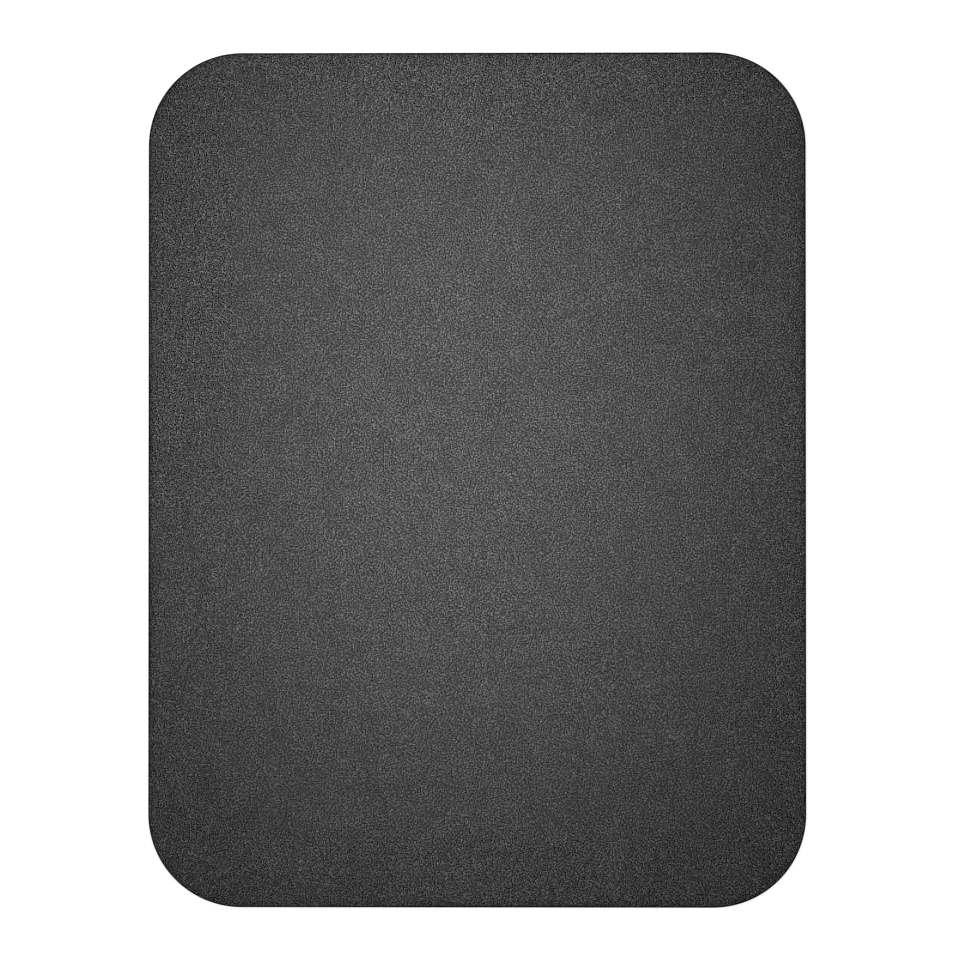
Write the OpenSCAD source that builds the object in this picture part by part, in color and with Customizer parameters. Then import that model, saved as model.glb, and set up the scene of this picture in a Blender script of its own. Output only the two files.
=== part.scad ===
// Magnetic phone mount plate
//
// A thin steel plate, blanked with round corners and finished all over in a fine black coat.
// Its face is what the magnet of a phone mount grips. A foam adhesive pad on its back bonds
// the plate to a phone, a case or a wall, and a paper liner covers the adhesive until then.
//
// The plate lies on its liner, face up: the origin is at the middle of the liner's underside,
// X runs across the plate, Y up its length and Z out of its face. All sizes are in millimetres.

/* [Steel plate] */
// Width across the plate, over the coat
plate_w = 50; // [40:1:80]
// Length of the plate, over the coat
plate_l = 65; // [50:1:100]
// Thickness of the plate, over both coats
plate_t = 0.8; // [0.6:0.1:2]
// Radius of the four corners, seen from the front
corner_r = 7.1; // [4:0.1:10]
// Width of the roll round the face, where the punch drew the sheet down as it cut
roll_w = 0.6; // [0.3:0.05:1]
// How far the face has rolled down at the edge
roll_drop = 0.04; // [0.02:0.01:0.1]
// Radius of the coated edge itself, which the roll runs into
face_edge_r = 0.15; // [0.1:0.01:0.2]
// Radius of the sharper edge round the back, where the blank broke off
back_edge_r = 0.1; // [0.05:0.05:0.15]

/* [Adhesive pad] */
// Width of the bare rim that the pad leaves round the back of the plate
pad_margin = 1.5; // [1.2:0.1:3]
// Thickness of the foam pad, with its adhesive faces
pad_t = 0.5; // [0.2:0.1:1.2]

/* [Release liner] */
// Thickness of the liner paper
liner_t = 0.1; // [0.06:0.02:0.2]
// Width of the finger tab, which starts the peel
tab_w = 14; // [10:1:18]
// How far the end of the tab stays behind the edge of the plate
tab_setback = 0.3; // [0.1:0.1:0.4]
// Radius of the two outer corners of the tab
tab_corner_r = 0.5; // [0.2:0.1:0.5]
// Radius of the fillets where the tab leaves the liner
tab_root_r = 0.2; // [0.1:0.05:0.2]

/* [Hidden] */
$fn = 96;

// The stack, from the liner's underside up
pad_z = liner_t;
plate_z = pad_z + pad_t;

// The pad's corners run parallel to the plate's, so the bare rim is as wide all round
pad_w = plate_w - 2 * pad_margin;
pad_l = plate_l - 2 * pad_margin;
pad_corner_r = corner_r - pad_margin;

// The tab crosses the bare rim at the plate's lower end, up to its setback
tab_reach = pad_margin - tab_setback;

coat_black = "#3c3c3d";
foam_grey = "#2a2a2b";
paper_cream = "#ebe6d9";

// A rectangle about the origin, with its corners rounded
module rounded_rectangle(width, length, radius) {
    square([width - 2 * radius, length], center = true);
    square([width, length - 2 * radius], center = true);
    for (x = [-1, 1], y = [-1, 1])
        translate([x * (width / 2 - radius), y * (length / 2 - radius)])
            circle(radius);
}

// The sliver between a square corner and the arc that rounds it. The corner points to +X
// and +Y, and the arc's centre is at the origin.
module corner_sliver(radius) {
    difference() {
        square(radius);
        circle(radius);
    }
}

// What the punch and the coat take off the top corner of the rim section. The roll is a wide
// arc that leaves the face with no crease. The edge is a small arc that runs on from it, where
// the two are in line with both of their centres, and ends flush in the side of the plate.
module face_edge_waste() {
    roll_r = (roll_w ^ 2 + roll_drop ^ 2) / (2 * roll_drop);
    roll_x = corner_r - roll_w;
    roll_y = plate_t - roll_r;
    edge_x = corner_r - face_edge_r;
    edge_y = roll_y + sqrt((roll_r - face_edge_r) ^ 2 - (edge_x - roll_x) ^ 2);
    meet_x = roll_x + (edge_x - roll_x) * roll_r / (roll_r - face_edge_r);
    difference() {
        translate([roll_x, edge_y]) square([roll_w, plate_t - edge_y]);
        intersection() {
            translate([roll_x, edge_y]) square([meet_x - roll_x, plate_t - edge_y]);
            translate([roll_x, roll_y]) circle(roll_r, $fn = 720);
        }
        translate([edge_x, edge_y]) circle(face_edge_r);
    }
}

// Section through the rim of the plate. X runs from the centre of a corner out to the edge,
// and Y is the height above the back.
module rim_section() {
    difference() {
        square([corner_r, plate_t]);
        face_edge_waste();
        translate([corner_r - back_edge_r, back_edge_r]) rotate(-90) corner_sliver(back_edge_r);
    }
}

// One rounded corner of the rim, with its centre at the origin, and the straight rim of
// the given length that leads up to it
module rim_corner_and_side(length) {
    rotate_extrude(angle = 90) rim_section();
    rotate([90, 0, 0]) linear_extrude(length) rim_section();
}

// The coated plate: one rim section swept right round the outline, and the flat inside it
module steel_plate() {
    flat_w = plate_w - 2 * corner_r;
    flat_l = plate_l - 2 * corner_r;
    color(coat_black) translate([0, 0, plate_z]) {
        translate([-flat_w / 2, -flat_l / 2, 0]) cube([flat_w, flat_l, plate_t]);
        for (side = [0 : 3]) {
            across = side % 2 == 0 ? flat_w : flat_l;
            along = side % 2 == 0 ? flat_l : flat_w;
            rotate(90 * side) translate([across / 2, along / 2, 0])
                rim_corner_and_side(along);
        }
    }
}

// The foam pad, cut parallel to the edge of the plate
module adhesive_pad() {
    color(foam_grey) translate([0, 0, pad_z])
        linear_extrude(pad_t) rounded_rectangle(pad_w, pad_l, pad_corner_r);
}

// Right half of the finger tab, which leaves the liner at the X axis and reaches towards -Y
module half_tab() {
    corner_x = tab_w / 2 - tab_corner_r;
    corner_y = tab_corner_r - tab_reach;
    translate([0, -tab_reach]) square([corner_x, tab_reach]);
    translate([0, corner_y]) square([tab_w / 2, -corner_y]);
    translate([corner_x, corner_y]) circle(tab_corner_r);
    translate([tab_w / 2 + tab_root_r, -tab_root_r])
        mirror([1, 0]) corner_sliver(tab_root_r);
}

// The liner, cut in one with its finger tab
module release_liner() {
    color(paper_cream) linear_extrude(liner_t) {
        rounded_rectangle(pad_w, pad_l, pad_corner_r);
        translate([0, -pad_l / 2]) {
            half_tab();
            mirror([1, 0]) half_tab();
        }
    }
}

steel_plate();
adhesive_pad();
release_liner();
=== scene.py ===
# %% [markdown]
# Magnetic phone mount plate
#
# A phone mount with a magnet needs steel to grip. This lesson finishes the small steel plate
# that gives it some: a sheet blanked with round corners, baked with a fine black powder coat,
# and backed with a foam adhesive pad under a paper liner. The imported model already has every
# piece at its real size, so we load it first and build each finish around it.

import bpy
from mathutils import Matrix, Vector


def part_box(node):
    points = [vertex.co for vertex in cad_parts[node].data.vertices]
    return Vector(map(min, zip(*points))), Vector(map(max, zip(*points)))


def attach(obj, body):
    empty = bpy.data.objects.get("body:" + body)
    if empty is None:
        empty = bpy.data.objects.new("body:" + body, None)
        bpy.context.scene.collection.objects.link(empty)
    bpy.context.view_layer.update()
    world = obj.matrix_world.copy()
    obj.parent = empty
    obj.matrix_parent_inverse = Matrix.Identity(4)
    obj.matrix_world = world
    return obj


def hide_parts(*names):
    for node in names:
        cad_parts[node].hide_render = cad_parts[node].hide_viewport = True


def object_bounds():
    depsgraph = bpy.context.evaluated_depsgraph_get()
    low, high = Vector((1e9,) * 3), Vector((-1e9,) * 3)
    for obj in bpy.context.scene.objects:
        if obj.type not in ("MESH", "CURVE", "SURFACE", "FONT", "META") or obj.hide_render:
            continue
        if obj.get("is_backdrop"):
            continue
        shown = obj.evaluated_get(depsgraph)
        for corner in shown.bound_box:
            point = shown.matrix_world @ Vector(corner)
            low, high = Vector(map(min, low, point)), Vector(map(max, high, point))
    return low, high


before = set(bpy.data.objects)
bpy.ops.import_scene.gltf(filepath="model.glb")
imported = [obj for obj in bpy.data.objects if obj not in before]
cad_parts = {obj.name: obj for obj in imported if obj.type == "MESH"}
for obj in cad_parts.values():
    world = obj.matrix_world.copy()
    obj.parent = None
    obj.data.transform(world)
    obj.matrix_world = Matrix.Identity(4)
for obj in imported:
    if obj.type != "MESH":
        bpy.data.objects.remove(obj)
cad_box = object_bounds()
print("pieces:", sorted(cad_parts))

# %% [markdown]
# We work in metres, but people who cut sheet steel think in millimetres, so one small value
# turns one into the other. The heights of the stack come from the frame. The radii and widths
# below repeat the plate's own, because a bounding box can't tell them.

# %% Read the sizes of the stack
import math

import bmesh
import bpy
from mathutils import Matrix, Vector, noise

MM = 0.001
plate_low, plate_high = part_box("steel_plate")
pad_low, pad_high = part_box("adhesive_pad")
liner_low, liner_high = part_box("release_liner")

CORNER_R = 7.1 * MM
plate_w, plate_l, plate_t = plate_high - plate_low
flat_w, flat_l = plate_w - 2 * CORNER_R, plate_l - 2 * CORNER_R
pad_corner_r = CORNER_R - (plate_high.x - pad_high.x)
print(f"plate {plate_w / MM:.1f} x {plate_l / MM:.1f} x {plate_t / MM:.2f} mm")
print(f"pad {(pad_high - pad_low).z / MM:.2f} mm, liner {(liner_high - liner_low).z / MM:.2f} mm")

# %% [markdown]
# The plate lies face up, so the camera hangs above it and looks down. A longer lens from
# farther off gives a truer rectangle. We choose the distance, then work the lens out from how
# large the plate should be in the picture. The camera stands a little to the right of the
# plate and below it, which is what makes the far sides a hair shorter than the near ones.

# %% Hang the camera above the plate
PICTURE_PX = 960
PLATE_WIDTH_PX = 658
PLATE_CENTRE_PX = (476.85, 479.6)
CAMERA_HEIGHT = 398.6 * MM
CAMERA_OFF_AXIS = Vector((7.1 * MM, -5.5 * MM, 0))
FILM_WIDTH = 36
NEAREST, FARTHEST = 10 * MM, 10

pixels_per_metre = PLATE_WIDTH_PX / plate_w
aim = Vector((
    (PICTURE_PX / 2 - PLATE_CENTRE_PX[0]) / pixels_per_metre,
    (PLATE_CENTRE_PX[1] - PICTURE_PX / 2) / pixels_per_metre,
    plate_high.z,
))
camera_data = bpy.data.cameras.new("camera")
camera = bpy.data.objects.new("camera", camera_data)
bpy.context.scene.collection.objects.link(camera)
bpy.context.scene.camera = camera
camera.location = aim + CAMERA_OFF_AXIS + Vector((0, 0, CAMERA_HEIGHT))
back_from_plate = (camera.location - aim).normalized()
rightwards = Vector((0, 1, 0)).cross(back_from_plate).normalized()
upwards = back_from_plate.cross(rightwards)
camera.rotation_euler = Matrix((rightwards, upwards, back_from_plate)).transposed().to_euler()
camera_data.sensor_width = FILM_WIDTH
camera_data.lens = FILM_WIDTH * (camera.location - aim).length * pixels_per_metre / PICTURE_PX
camera_data.clip_start, camera_data.clip_end = NEAREST, FARTHEST
bpy.context.scene.view_settings.view_transform = "Standard"
print(f"lens {camera_data.lens:.1f} mm, camera at {camera.location / MM} mm")

# %% [markdown]
# A matt black plate shows its light as one broad sheen. A single soft lamp close above the
# plate gives that sheen its soft edge, and it sits a little left of the middle and up, where
# the sheen is brightest. Its power is worked out so that white card under its middle would
# render white: power = pi squared x height squared x brightness, for a lamp that faces down.

# %% Hang one soft lamp over the plate
LAMP_HEIGHT = 92.8 * MM
LAMP_CENTRE = Vector((-4.4 * MM, 10.4 * MM, 0))
LAMP_SIZE = (32 * MM, 80 * MM)
LAMP_BRIGHTNESS = 0.947

lamp_data = bpy.data.lights.new("soft_lamp", "AREA")
lamp_data.shape = "ELLIPSE"
lamp_data.size, lamp_data.size_y = LAMP_SIZE
lamp_data.energy = LAMP_BRIGHTNESS * math.pi**2 * LAMP_HEIGHT**2
lamp = bpy.data.objects.new("soft_lamp", lamp_data)
bpy.context.scene.collection.objects.link(lamp)
lamp.location = LAMP_CENTRE + Vector((0, 0, plate_high.z + LAMP_HEIGHT))
lamp.visible_camera = False
print(f"lamp {lamp_data.energy:.4f} W at {lamp.location / MM} mm")

# %% [markdown]
# The room round the plate is a world shader, and the coat, the foam and the paper are shaders
# too. Every one of them is a tree of nodes. Wiring nodes by hand takes three lines each, so we
# write one helper that makes a node, fills its inputs and joins it to the nodes before it.

# %% Start the studio's world
def new_node(tree, kind, inputs=None, **settings):
    """A shader node of that kind, with its inputs set by name or number, and its properties."""
    node = tree.nodes.new(kind)
    for name, value in settings.items():
        setattr(node, name, value)
    for name, value in (inputs or {}).items():
        if isinstance(value, bpy.types.NodeSocket):
            tree.links.new(value, node.inputs[name])
        else:
            node.inputs[name].default_value = value
    return node


world = bpy.data.worlds.new("studio")
bpy.context.scene.world = world
world.use_nodes = True
sky = world.node_tree
view_ray = new_node(sky, "ShaderNodeLightPath").outputs
direction = new_node(sky, "ShaderNodeTexCoord").outputs["Generated"]
rise = new_node(sky, "ShaderNodeSeparateXYZ", {0: direction}).outputs["Z"]
print(len(sky.nodes), "nodes in the world so far")

# %% [markdown]
# Around the lamp the room is dim, or its reflection would grey the black coat. A white studio
# still has to show behind the plate, so the rays that come from the camera, or that pass
# through glass, find white all round. Rays that shine off a surface find it only near the
# horizon, because a photographer keeps white card out of the space above a black plate.
# Below the horizon the world is bright, to light the liner for a camera underneath. The sums
# need two more helpers, one for the Math node and one for Map Range.

# %% Light the room
SKY_LIGHT = 0.117
LIGHT_FROM_BELOW = 0.9
BACKDROP_TOP = (0.45, 0.70)


def maths(tree, operation, first, second, third=None, clamp=False):
    """A Math node's output. Each input is the socket of another node, or a number."""
    inputs = {0: first, 1: second} if third is None else {0: first, 1: second, 2: third}
    node = new_node(tree, "ShaderNodeMath", inputs, operation=operation, use_clamp=clamp)
    return node.outputs[0]


def moved(tree, value, from_range, to_range, ease=False):
    """A value moved from one range to another and held to it, through a Map Range node."""
    return new_node(tree, "ShaderNodeMapRange", {
        "Value": value, "From Min": from_range[0], "From Max": from_range[1],
        "To Min": to_range[0], "To Max": to_range[1],
    }, interpolation_type="SMOOTHSTEP" if ease else "LINEAR").outputs[0]


in_view = maths(sky, "MAXIMUM", view_ray["Is Camera Ray"], view_ray["Is Transmission Ray"])
low_band = moved(sky, rise, BACKDROP_TOP, (1, 0), ease=True)
in_shine = maths(sky, "MULTIPLY", view_ray["Is Glossy Ray"], low_band)
white = maths(sky, "MAXIMUM", in_view, in_shine)
above = maths(sky, "GREATER_THAN", rise, 0)
room = moved(sky, above, (0, 1), (LIGHT_FROM_BELOW, SKY_LIGHT))
strength = new_node(sky, "ShaderNodeMix", {"Factor": white, "A": room, "B": 1}).outputs[0]
background = sky.nodes["Background"]
background.inputs["Color"].default_value = (1, 1, 1, 1)
sky.links.new(strength, background.inputs["Strength"])
print("room light", SKY_LIGHT, "from above and", LIGHT_FROM_BELOW, "from below")

# %% [markdown]
# All three pieces have the same outline, one inside another, so we describe it once. Walk
# round the flat middle of the plate, and at each stop note the point and the way straight out
# from it. Along a side the way out stays the same. At a corner the point stays and the way
# out swings through a quarter turn. A ring at any distance out is then one line of code, and
# its corners come out round by themselves.

# %% Walk round the outline
SIDE_STEP = 0.4 * MM
ARC_STEPS = 28


def walk_outline(width, length):
    """Stops round a rectangle, anticlockwise: each is a point and the unit way out from it."""
    stops = []
    for turn in range(4):
        across, along = (width, length) if turn % 2 == 0 else (length, width)
        spin = Matrix.Rotation(turn * math.pi / 2, 3, "Z")
        steps = round(along / SIDE_STEP)
        for i in range(steps):
            point = Vector((across / 2, along * (i / steps - 0.5), 0))
            stops.append((spin @ point, spin @ Vector((1, 0, 0))))
        for i in range(ARC_STEPS):
            angle = math.pi / 2 * i / ARC_STEPS
            way = Vector((math.cos(angle), math.sin(angle), 0))
            stops.append((spin @ Vector((across / 2, along / 2, 0)), spin @ way))
    return stops


outline = walk_outline(flat_w, flat_l)
print(len(outline), "stops round the outline")

# %% [markdown]
# Now the plate's rim, cut through and looked at end on. A punch draws the sheet down before it
# cuts, so the face rolls away gently near the edge. The coat rounds what is left to a small
# radius, then the side drops straight to a sharper corner at the back. We list the section
# from the middle of the face, over the edge, and back under to the middle. The straight parts
# need few points and the arcs more.

# %% Draw the section through the plate's rim
ROLL_W = 0.6 * MM
ROLL_DROP = 0.04 * MM
FACE_EDGE_R = 0.15 * MM
BACK_EDGE_R = 0.1 * MM
ROLL_STEPS, EDGE_STEPS, SIDE_STEPS, BACK_EDGE_STEPS = 10, 8, 4, 5
UNDERSIDE = (1, 0.5, 0)


def arc(centre, radius, start, end, steps):
    """Points (out, height) along an arc, without its first point. Angles are in degrees."""
    angles = [math.radians(start + (end - start) * (i + 1) / steps) for i in range(steps)]
    return [(centre[0] + radius * math.cos(a), centre[1] + radius * math.sin(a)) for a in angles]


def plate_section():
    """Points (out, height) from the face's middle, round the edge, to the back's middle."""
    top, bottom = plate_high.z, plate_low.z
    roll_r = (ROLL_W**2 + ROLL_DROP**2) / (2 * ROLL_DROP)
    roll_centre = (CORNER_R - ROLL_W, top - roll_r)
    edge_out = CORNER_R - FACE_EDGE_R
    lean = math.degrees(math.asin((edge_out - roll_centre[0]) / (roll_r - FACE_EDGE_R)))
    rise = (roll_r - FACE_EDGE_R) * math.cos(math.radians(lean))
    edge_centre = (edge_out, roll_centre[1] + rise)
    back_centre = (CORNER_R - BACK_EDGE_R, bottom + BACK_EDGE_R)
    face_steps = round(roll_centre[0] / SIDE_STEP)
    points = [(roll_centre[0] * i / face_steps, top) for i in range(face_steps + 1)]
    points += arc(roll_centre, roll_r, 90, 90 - lean, ROLL_STEPS)
    points += arc(edge_centre, FACE_EDGE_R, 90 - lean, 0, EDGE_STEPS)
    side = edge_centre[1] - back_centre[1]
    for i in range(1, SIDE_STEPS + 1):
        points.append((CORNER_R, edge_centre[1] - side * i / SIDE_STEPS))
    points += arc(back_centre, BACK_EDGE_R, 0, -90, BACK_EDGE_STEPS)
    return points + [(pad_corner_r * share, bottom) for share in UNDERSIDE]


section = plate_section()
print(len(section), "points in the rim's section")

# %% [markdown]
# A texture needs to know where on the plate it is, and a map tells it. We lay out two. One is
# the surface opened out flat in millimetres, as if the rim were unrolled. The grain of the
# coat is drawn on that one, so it runs over the edge without a seam or a stretch. The other
# is for baking a picture of the finish: the plate's face as large as it goes, on its side,
# with its back in the corner left over.

# %% Lay out the two maps
COAT_MAP = "opened_out"
BAKE_MAP = "OFBake"
MAP_MARGIN = 1.4 * MM
MAP_SPAN = plate_l + 2 * MAP_MARGIN
BACK_ON_MAP = 0.26


def on_bake_map(x, y, is_back):
    """Where a point of the opened-out surface lies on the bake map, from 0 to 1."""
    u, v = (y + plate_l / 2 + MAP_MARGIN) / MAP_SPAN, (x + plate_w / 2 + MAP_MARGIN) / MAP_SPAN
    return (u * BACK_ON_MAP, 1 - v * BACK_ON_MAP) if is_back else (u, v)


def map_corner(loop, maps, x, y, is_back):
    """Puts one corner of a face on both maps."""
    opened_out, bake = maps
    loop[opened_out].uv = (x / MM, y / MM)
    loop[bake].uv = on_bake_map(x, y, is_back)


def start_mesh():
    """An empty mesh to build in, and its two maps."""
    bm = bmesh.new()
    return bm, [bm.loops.layers.uv.new(name) for name in (COAT_MAP, BAKE_MAP)]


print(f"face on the bake map: {plate_l / MAP_SPAN:.3f} x {plate_w / MAP_SPAN:.3f} of its width")

# %% [markdown]
# The rim could be a bevel, but a bevel is one arc and this section is four. Sweeping the
# section round the outline follows it exactly: one ring of points for each point of the
# section, with faces between. Each corner's inner ring closes on a single point, which
# merging doubles tidies up later.

# %% Sweep the rim
def sweep(bm, maps, stops, section, turn_under):
    """Sweeps points (out, height) round the stops. From point turn_under on they are the back."""
    reach = [0]
    for (a, h), (b, k) in zip(section, section[1:]):
        reach.append(reach[-1] + math.hypot(b - a, k - h))
    rings = [
        [bm.verts.new(point + way * out + Vector((0, 0, z))) for point, way in stops]
        for out, z in section
    ]
    for row in range(len(section) - 1):
        is_back = row >= turn_under
        for i in range(len(stops)):
            j = (i + 1) % len(stops)
            corners = [(row, i), (row + 1, i), (row + 1, j), (row, j)]
            face = bm.faces.new([rings[r][s] for r, s in corners])
            for loop, (r, s) in zip(face.loops, corners):
                point, way = stops[s]
                spot = point + way * (section[r][0] if is_back else reach[r])
                map_corner(loop, maps, spot.x, spot.y, is_back)


bm, maps = start_mesh()
sweep(bm, maps, outline, section, turn_under=len(section) - len(UNDERSIDE))
print("rim:", len(bm.faces), "faces")

# %% [markdown]
# The middle of the face and of the back are flat, and two big faces would do for a drawing.
# A real coat is never that flat, so we fill them with a grid fine enough to bend. The grid's
# edge points are the rim's own, so the two will merge into one skin.

# %% Fill the face and the back
def fill_flat(bm, maps, width, length, z, is_back):
    """Fills the rectangle inside the rim with a grid that meets the rim's own points."""
    columns, rows = round(width / SIDE_STEP), round(length / SIDE_STEP)
    across = [width * (i / columns - 0.5) for i in range(columns + 1)]
    along = [length * (j / rows - 0.5) for j in range(rows + 1)]
    grid = [[bm.verts.new((x, y, z)) for x in across] for y in along]
    for j in range(rows):
        for i in range(columns):
            corners = [grid[j][i], grid[j][i + 1], grid[j + 1][i + 1], grid[j + 1][i]]
            face = bm.faces.new(corners[::-1] if is_back else corners)
            for loop in face.loops:
                map_corner(loop, maps, loop.vert.co.x, loop.vert.co.y, is_back)


fill_flat(bm, maps, flat_w, flat_l, plate_high.z, is_back=False)
fill_flat(bm, maps, flat_w, flat_l, plate_low.z, is_back=True)
print("plate so far:", len(bm.faces), "faces")

# %% [markdown]
# Powder melts into a skin that is never dead flat: it keeps a faint ripple, a few thousandths
# of a millimetre deep, that shows when the plate is tipped to the light. A texture could fake
# it, but the mesh is fine enough to hold it, so we push the face down by a little noise. It
# only ever goes down, so the plate is never thicker than it should be.

# %% Ripple the face and finish the plate's mesh
RIPPLE_DEPTH = 0.002 * MM
RIPPLE_WIDTH = 1.6 * MM
FINE_RIPPLE = 2.3
MERGE = 0.1e-6
SHARP = math.radians(40)


def finish_mesh(bm, name):
    """Merges doubles, smooths all but the sharp edges, and makes the mesh an object."""
    bmesh.ops.remove_doubles(bm, verts=bm.verts, dist=MERGE)
    for face in bm.faces:
        face.smooth = True
    for edge in bm.edges:
        edge.smooth = edge.calc_face_angle(0) < SHARP
    mesh = bpy.data.meshes.new(name)
    bm.to_mesh(mesh)
    bm.free()
    piece = bpy.data.objects.new(name, mesh)
    bpy.context.scene.collection.objects.link(piece)
    mesh.calc_loop_triangles()
    print(name, len(mesh.vertices), "vertices,", len(mesh.loop_triangles), "triangles")
    return piece


for vert in bm.verts:
    if vert.co.z > plate_high.z - ROLL_DROP:
        broad = noise.noise(vert.co / RIPPLE_WIDTH)
        fine = noise.noise(vert.co * FINE_RIPPLE / RIPPLE_WIDTH)
        vert.co.z -= RIPPLE_DEPTH * (0.5 + (broad + 0.5 * fine) / 3)
plate = finish_mesh(bm, "coated_plate")

# %% [markdown]
# The coat is what the eye sees. Fine-textured powder cures into a sandy skin of grains about a
# tenth of a millimetre across. Each is a little dome that catches the lamp on its crown, with
# a dark groove round it. A photograph of a real coat would look right from one distance only,
# so we grow the grains from a Voronoi texture instead: the distance from the middle of a cell
# gives the dome, and the cell's random number says how well that grain catches the light.
# That light is painted into the coat's grey: a painted glint on each crown and painted shade
# in each groove.

# %% Grow the grains of the coat
GRAIN_MM = 0.091
GROOVE_AT = 0.91
CROWN_POWER = 6
RARITY = 5
GRAIN_SPREAD = (0.6, 3.0)


def new_material(name):
    """A material with its Principled shader, and the tree they are in."""
    material = bpy.data.materials.new(name)
    material.use_nodes = True
    return material, material.node_tree, material.node_tree.nodes["Principled BSDF"]


coat, tree, shader = new_material("powder_coat")
opened_out = new_node(tree, "ShaderNodeUVMap", uv_map=COAT_MAP).outputs[0]
grains = new_node(tree, "ShaderNodeTexVoronoi", {
    "Vector": opened_out, "Scale": 1 / GRAIN_MM, "Randomness": 1,
}, voronoi_dimensions="2D")
crown = moved(tree, grains.outputs["Distance"], (0, GROOVE_AT), (1, 0))
chance = new_node(tree, "ShaderNodeSeparateColor", {0: grains.outputs["Color"]}).outputs["Red"]
rare = maths(tree, "POWER", chance, RARITY)
catch = moved(tree, rare, (0, 1), GRAIN_SPREAD)
peak = maths(tree, "POWER", crown, CROWN_POWER)
# glint is painted light for the coat's grey: bright on each crown, painted shade in each groove
glint = maths(tree, "MULTIPLY", peak, catch)
print(f"about {plate_w * plate_l / (GRAIN_MM * MM) ** 2:,.0f} grains on the face")

# %% [markdown]
# The powder also falls a little thicker here and there, which clouds the sheen very faintly,
# over a few millimetres. Just below the face's edge the coat is painted black and loses its
# mirror, a painted line of shade that outlines the plate as a dark hairline. Both are masks,
# and multiplied together they scale the painted glints in the grey and the mirror.

# %% Cloud the coat and paint a line of shade along its edge
CLOUD_MM = 3
CLOUD_DEPTH = (0.93, 1.07)
NOISE_RANGE = (0.3, 0.7)
SHADE_LINE_TOP = (plate_high.z - 0.037 * MM, plate_high.z - 0.024 * MM)
SHADE_LINE_END = (plate_high.z - 0.14 * MM, plate_high.z - 0.18 * MM)

clouds = new_node(tree, "ShaderNodeTexNoise", {
    "Vector": opened_out, "Scale": 1 / CLOUD_MM, "Detail": 2,
}, noise_dimensions="2D")
cloud = moved(tree, clouds.outputs["Fac"], NOISE_RANGE, CLOUD_DEPTH)
place = new_node(tree, "ShaderNodeTexCoord").outputs["Object"]
height = new_node(tree, "ShaderNodeSeparateXYZ", {0: place}).outputs["Z"]
# A painted line of shade: the coat goes black between these heights just below the face
above_edge = moved(tree, height, SHADE_LINE_TOP, (0, 1), ease=True)
below_edge = moved(tree, height, SHADE_LINE_END, (0, 1), ease=True)
clear_of_edge_shade = maths(tree, "MAXIMUM", above_edge, below_edge)
clouds_and_edge_shade = maths(tree, "MULTIPLY", cloud, clear_of_edge_shade)
print(f"hairline {(SHADE_LINE_TOP[1] - SHADE_LINE_END[1]) / MM:.2f} mm high, just below the face")

# %% [markdown]
# Now the coat can be coloured. The grey is painted light: a painted highlight on the crown of
# each dome and painted shade in the groove round it. The crown also mirrors more and is a
# little smoother. One value drives the grey and the mirror, so a grain that catches the light
# does so in both, and the grey stays dead neutral.

# %% Colour the coat
COAT_BLACK = 0.002
COAT_GLINT_GREY = 0.283
COAT_MIRROR = 4.31
COAT_ROUGHNESS = (0.465, 0.415)

seen = maths(tree, "MULTIPLY", glint, clouds_and_edge_shade)
# The coat's grey: painted glints on the crowns, painted shade in the grooves and along the edge
grey = maths(tree, "MULTIPLY_ADD", seen, COAT_GLINT_GREY, COAT_BLACK)
tree.links.new(grey, shader.inputs["Base Color"])
mirror = maths(tree, "MULTIPLY", seen, COAT_MIRROR, clamp=True)
tree.links.new(mirror, shader.inputs["Specular IOR Level"])
tree.links.new(moved(tree, crown, (0, 1), COAT_ROUGHNESS), shader.inputs["Roughness"])
print("roughness from", COAT_ROUGHNESS[1], "on a crown to", COAT_ROUGHNESS[0], "in a groove")

# %% [markdown]
# Each dome also leans the surface away from its middle. A Bump node would guess that lean from
# neighbouring pixels, so the sheen would wander with the size of the picture. The texture
# knows where the middle of each grain is, so we take the lean from there and hand it to a
# Normal Map node, which reads leans from -1 to 1 as a colour from 0 to 1.

# %% Raise the domes and bake the coat on
DOME_CURVE = 2.0

from_middle = new_node(tree, "ShaderNodeVectorMath", {
    0: opened_out, 1: grains.outputs["Position"],
}, operation="SUBTRACT").outputs[0]
lean = new_node(tree, "ShaderNodeVectorMath", {
    0: from_middle, 1: (DOME_CURVE / 2, DOME_CURVE / 2, 0), 2: (0.5, 0.5, 1),
}, operation="MULTIPLY_ADD").outputs[0]
domes = new_node(tree, "ShaderNodeNormalMap", {"Color": lean}, uv_map=COAT_MAP)
tree.links.new(domes.outputs[0], shader.inputs["Normal"])
plate.data.materials.append(coat)
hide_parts("steel_plate")
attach(plate, "root")
print("coat:", len(tree.nodes), "nodes")

# %% [markdown]
# Under the plate lies the pad: acrylic foam tape, die-cut to leave a bare rim all round. From
# above it can't be seen, but from the side it is the dark line in the gap, so it gets a true
# section. The knife squeezes the foam as it cuts, and the foam springs back a little hollow
# between its two skins of adhesive. Its outline runs parallel to the plate's, so the same
# stops serve.

# %% Cut the foam pad
HOLLOW = 0.06 * MM
SKIN = 0.05 * MM
HOLLOW_STEPS = 8


def pad_section():
    """Points (out, height) from the middle of the pad's top, down its side, to its underside."""
    top, bottom = pad_high.z, pad_low.z
    points = [(pad_corner_r * share, top) for share in reversed(UNDERSIDE)]
    points.append((pad_corner_r, top - SKIN))
    for i in range(1, HOLLOW_STEPS):
        share = i / HOLLOW_STEPS
        depth = HOLLOW * math.sin(math.pi * share)
        points.append((pad_corner_r - depth, top - SKIN - (top - bottom - 2 * SKIN) * share))
    points.append((pad_corner_r, bottom + SKIN))
    return points + [(pad_corner_r * share, bottom) for share in UNDERSIDE]


section = pad_section()
bm, maps = start_mesh()
sweep(bm, maps, outline, section, turn_under=len(section) - len(UNDERSIDE))
fill_flat(bm, maps, flat_w, flat_l, pad_high.z, is_back=False)
fill_flat(bm, maps, flat_w, flat_l, pad_low.z, is_back=True)
pad = finish_mesh(bm, "foam_tape_pad")
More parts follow.
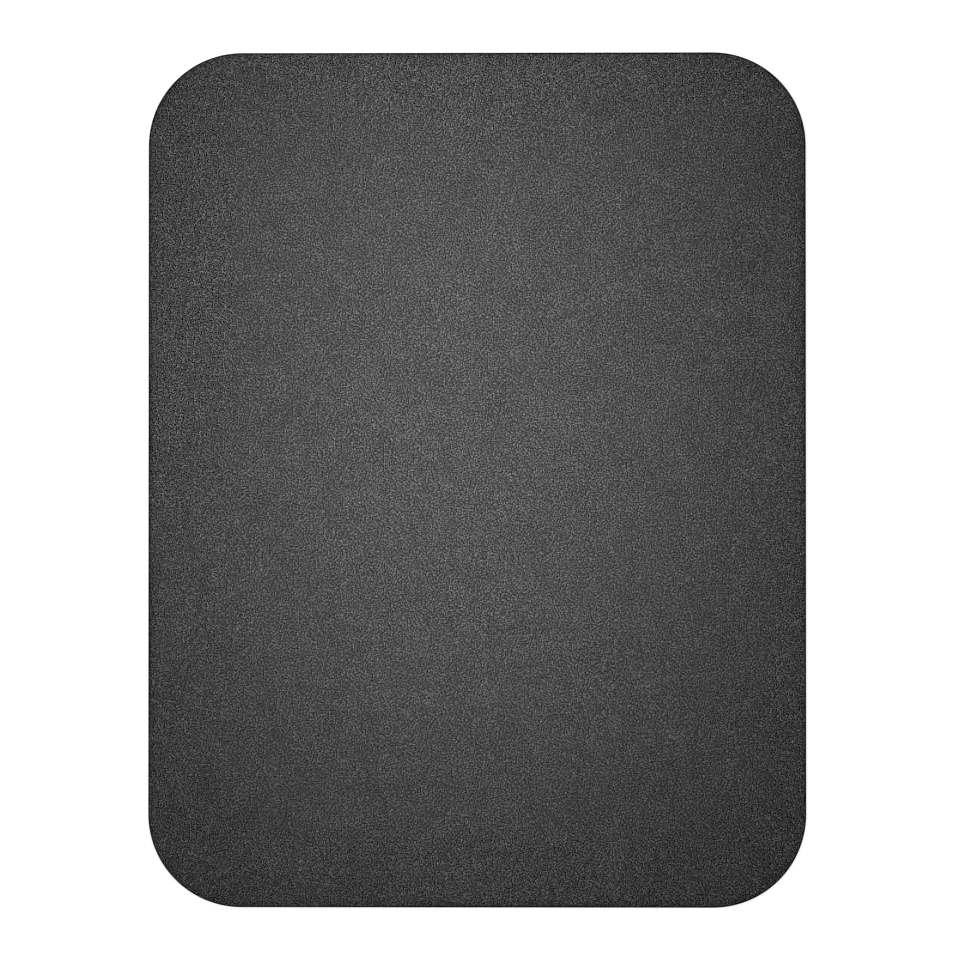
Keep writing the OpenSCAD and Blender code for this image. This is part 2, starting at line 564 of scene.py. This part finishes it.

# %% [markdown]
# Foam shows its cells where it is cut. They are open, round and much finer than a sponge's, so
# a Voronoi texture again gives them. Each pit is painted darker towards its middle as shade,
# and the walls round it are slightly paler. A colour ramp turns the distance from a pit's
# middle into those greys, and the paper will need one too.

# %% Colour the foam
CELL = 0.12 * MM
# Painted shade: the middle of each pit is darker than the foam's walls
FOAM_PIT_SHADE = [(0, (0.008,) * 3), (0.35, (0.020,) * 3), (1, (0.036,) * 3)]


def shades(tree, value, stops):
    """A colour ramp's output, from a list of (position, colour), fed by a value."""
    ramp = new_node(tree, "ShaderNodeValToRGB", {0: value})
    elements = ramp.color_ramp.elements
    while len(elements) < len(stops):
        elements.new(0.5)
    for element, (position, colour) in zip(elements, stops):
        element.position = position
        element.color = (*colour, 1)
    return ramp.outputs[0]


foam, tree, shader = new_material("acrylic_foam")
place = new_node(tree, "ShaderNodeTexCoord").outputs["Object"]
cells = new_node(tree, "ShaderNodeTexVoronoi", {"Vector": place, "Scale": 1 / CELL})
pits = cells.outputs["Distance"]
tree.links.new(shades(tree, pits, FOAM_PIT_SHADE), shader.inputs["Base Color"])
print(f"foam: cells {CELL / MM:.2f} mm across")

# %% [markdown]
# The skins of adhesive at the pad's top and bottom are clear and glossy, so there the roughness
# drops and the pits fade out. Pits this small need no real dents. A Bump node will do, because
# the foam is dull and no sheen gives it away.

# %% Gloss the skins and finish the pad
FOAM_ROUGHNESS, SKIN_ROUGHNESS = 0.9, 0.22
PIT_DEPTH = 0.03 * MM
SKIN_FADE = 1.2 * SKIN

height = new_node(tree, "ShaderNodeSeparateXYZ", {0: place}).outputs["Z"]
over = moved(tree, height, (pad_high.z - SKIN_FADE, pad_high.z - SKIN), (0, 1))
under = moved(tree, height, (pad_low.z + SKIN_FADE, pad_low.z + SKIN), (0, 1))
skin = maths(tree, "MAXIMUM", over, under)
roughness = moved(tree, skin, (0, 1), (FOAM_ROUGHNESS, SKIN_ROUGHNESS))
tree.links.new(roughness, shader.inputs["Roughness"])
foam_only = maths(tree, "MULTIPLY", pits, maths(tree, "SUBTRACT", 1, skin))
relief = new_node(tree, "ShaderNodeBump", {
    "Height": foam_only, "Strength": 1, "Distance": PIT_DEPTH,
})
tree.links.new(relief.outputs[0], shader.inputs["Normal"])
pad.data.materials.append(foam)
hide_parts("adhesive_pad")
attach(pad, "root")
print("foam:", len(tree.nodes), "nodes")

# %% [markdown]
# The liner is one sheet of coated paper that covers the adhesive, cut with a tongue for a
# fingernail at the lower end. A boolean could join the two, but it would leave long thin
# triangles that can't bend. So we draw the tab as a strip of rows, and a small function says
# how wide each row is: a fillet at the root, straight sides, then a round corner.

# %% Shape the finger tab
TAB_W = 14 * MM
TAB_CORNER_R = 0.5 * MM
TAB_ROOT_R = 0.2 * MM
TAB_LIFT = 0.12 * MM
TAB_ROWS = 24
TAB_COLUMNS = 28

tab_root_y = pad_low.y
tab_reach = tab_root_y - liner_low.y


def tab_half_width(down):
    """Half the tab's width, some way down from its root: a fillet, a side, a round corner."""
    if down < TAB_ROOT_R:
        return TAB_W / 2 + TAB_ROOT_R - math.sqrt(TAB_ROOT_R**2 - (TAB_ROOT_R - down) ** 2)
    left = max(tab_reach - down, 0)
    if left < TAB_CORNER_R:
        round_off = math.sqrt(TAB_CORNER_R**2 - (TAB_CORNER_R - left) ** 2)
        return TAB_W / 2 - TAB_CORNER_R + round_off
    return TAB_W / 2


def tab_row_depth(row):
    """How far down a row lies. Rows crowd at both ends, where the outline curves."""
    return tab_reach * (1 - math.cos(math.pi * row / TAB_ROWS)) / 2


for down in (0, tab_reach / 2, tab_reach):
    print(f"tab {2 * tab_half_width(down) / MM:.2f} mm wide, {down / MM:.2f} mm down")

# %% [markdown]
# We draw only the sheet's upper face for now, and the strip of rows for the tab comes first.
# The tab is stuck to nothing, so its rows rise a little towards the tip, as a handled one
# does.

# %% Lay the tab's rows
bm = bmesh.new()
rows = []
for row in range(TAB_ROWS + 1):
    down = tab_row_depth(row)
    half = tab_half_width(down)
    z = liner_high.z + TAB_LIFT * (down / tab_reach) ** 2
    across = [half * (2 * i / TAB_COLUMNS - 1) for i in range(TAB_COLUMNS + 1)]
    rows.append([bm.verts.new((x, tab_root_y - down, z)) for x in across])
for upper, lower in zip(rows, rows[1:]):
    for i in range(TAB_COLUMNS):
        bm.faces.new((upper[i], lower[i], lower[i + 1], upper[i + 1]))
print("tab:", len(bm.faces), "faces, its tip lifted", round(TAB_LIFT / MM, 2), "mm")

# %% [markdown]
# The body is one many-sided face. Its ring of points follows the pad's edge, and along the
# tab's root it borrows the first row's own points, so the two are one sheet. We note the
# outline of the whole sheet, because the floor will need it, and then extrude the face down by
# the paper's thickness.

# %% Cut the liner in one with its tab
PAST_FILLET = 1.5 * TAB_ROOT_R

ring = []
for point, way in outline:
    spot = point + way * pad_corner_r
    on_tab_root = abs(spot.y - tab_root_y) < MERGE and abs(spot.x) < TAB_W / 2 + PAST_FILLET
    if not on_tab_root:
        ring.append(bm.verts.new((spot.x, spot.y, liner_high.z)))
    elif rows[0][0] not in ring:
        tab_starts = len(ring)
        ring += rows[0]
after_tab = tab_starts + len(rows[0])
tab_edge = [row[0] for row in rows] + rows[-1][1:-1] + [row[-1] for row in reversed(rows)]
liner_edge = [vert.co.xy for vert in ring[:tab_starts] + tab_edge + ring[after_tab:]]
body = bm.faces.new(ring)
bmesh.ops.triangulate(bm, faces=[body])
lower_face = bmesh.ops.extrude_face_region(bm, geom=bm.faces[:], use_keep_orig=True)["geom"]
for part in lower_face:
    if isinstance(part, bmesh.types.BMVert):
        part.co.z -= liner_high.z - liner_low.z
bmesh.ops.recalc_face_normals(bm, faces=bm.faces[:])
liner = finish_mesh(bm, "paper_liner")
print("outline of the sheet:", len(liner_edge), "points")

# %% [markdown]
# Release paper is kraft pulp, bleached to cream, under a film of silicone. Two things give it
# away: long fibres that lie mostly one way, and soft clouds where the pulp is thicker. One
# noise texture stretched along the sheet makes the fibres and a broad one makes the clouds.
# The silicone keeps it smooth, so it has a soft sheen and hardly any relief.

# %% Make the release paper
FIBRE = (0.05 * MM, 0.6 * MM)
PULP_CLOUD = 2.5 * MM
FIBRE_SHARE, PULP_SHARE = 0.45, 0.55
PAPER_SHADES = [(0.25, (0.74, 0.70, 0.61)), (0.5, (0.83, 0.79, 0.70)), (0.75, (0.87, 0.84, 0.76))]
PAPER_ROUGHNESS = (0.42, 0.55)
FIBRE_RELIEF = 0.006 * MM

paper, tree, shader = new_material("release_paper")
place = new_node(tree, "ShaderNodeTexCoord").outputs["Object"]
stretched = new_node(tree, "ShaderNodeMapping", {
    "Vector": place, "Scale": (1 / FIBRE[0], 1 / FIBRE[1], 1 / FIBRE[0]),
}).outputs[0]
fibres = new_node(tree, "ShaderNodeTexNoise", {
    "Vector": stretched, "Scale": 1, "Detail": 3, "Distortion": 0.4,
}).outputs["Fac"]
pulp = new_node(tree, "ShaderNodeTexNoise", {
    "Vector": place, "Scale": 1 / PULP_CLOUD, "Detail": 4,
}).outputs["Fac"]
pulp_part = maths(tree, "MULTIPLY", pulp, PULP_SHARE)
mottle = maths(tree, "MULTIPLY_ADD", fibres, FIBRE_SHARE, pulp_part)
tree.links.new(shades(tree, mottle, PAPER_SHADES), shader.inputs["Base Color"])
tree.links.new(moved(tree, mottle, NOISE_RANGE, PAPER_ROUGHNESS), shader.inputs["Roughness"])
relief = new_node(tree, "ShaderNodeBump", {
    "Height": fibres, "Strength": 1, "Distance": FIBRE_RELIEF,
})
tree.links.new(relief.outputs[0], shader.inputs["Normal"])
liner.data.materials.append(paper)
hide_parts("release_liner")
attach(liner, "root")
print("paper:", len(tree.nodes), "nodes")

# %% [markdown]
# The floor is a disc of white card, so wide that its rim is out of sight. It has a window cut
# exactly round the liner, because a camera under the floor should see the paper in full
# light. From above the plate hides the window. Filling between two loops of edges makes a
# face with a hole in it in one step.

# %% Lay the floor
FLOOR_REACH = 2
RIM_STEPS = 96

bm = bmesh.new()
turns = [2 * math.pi * i / RIM_STEPS for i in range(RIM_STEPS)]
rim = [(FLOOR_REACH * math.cos(turn), FLOOR_REACH * math.sin(turn)) for turn in turns]
cuts = []
for loop in (rim, liner_edge):
    verts = [bm.verts.new((x, y, 0)) for x, y in loop]
    cuts += [bm.edges.new(pair) for pair in zip(verts, verts[1:] + verts[:1])]
bmesh.ops.triangle_fill(bm, use_beauty=True, edges=cuts)
for face in bm.faces:
    face.normal_update()
    if face.normal.z < 0:
        face.normal_flip()
floor = finish_mesh(bm, "floor")
floor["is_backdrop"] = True

# %% [markdown]
# White card on its own would render a little grey, because the lamp is small and near. More
# light would spoil the coat, so the card glows instead, and only for the rays that see the
# backdrop: the camera's own, and those that reach it in a shine or through glass. A mix by
# Backfacing makes the card clear when it is seen from below.

# %% Make the white card
FLOOR_WHITE = 0.8
FLOOR_GLOW = 0.91

card = bpy.data.materials.new("white_card")
card.use_nodes = True
tree = card.node_tree
tree.nodes.clear()
view_ray = new_node(tree, "ShaderNodeLightPath").outputs
in_view = maths(tree, "MAXIMUM", view_ray["Is Camera Ray"], view_ray["Is Transmission Ray"])
in_view = maths(tree, "MAXIMUM", in_view, view_ray["Is Glossy Ray"])
strength = maths(tree, "MULTIPLY", in_view, FLOOR_GLOW)
glow = new_node(tree, "ShaderNodeEmission", {"Strength": strength})
matt = new_node(tree, "ShaderNodeBsdfDiffuse", {"Color": (FLOOR_WHITE,) * 3 + (1,)})
lit = new_node(tree, "ShaderNodeAddShader", {0: matt.outputs[0], 1: glow.outputs[0]})
clear = new_node(tree, "ShaderNodeBsdfTransparent")
side = new_node(tree, "ShaderNodeNewGeometry")
one_sided = new_node(tree, "ShaderNodeMixShader", {
    0: side.outputs["Backfacing"], 1: lit.outputs[0], 2: clear.outputs[0],
})
new_node(tree, "ShaderNodeOutputMaterial", {"Surface": one_sided.outputs[0]})
floor.data.materials.append(card)
print("card: white", FLOOR_WHITE, "with a glow of", FLOOR_GLOW)

# %% [markdown]
# The size of the finished model must be the size of the part, so the script writes both down.

# %% Write the sizes and finish
visual_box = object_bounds()
for name, box in (("part", cad_box), ("model", visual_box)):
    print(name, [round(v / MM, 3) for corner in box for v in corner], "mm")
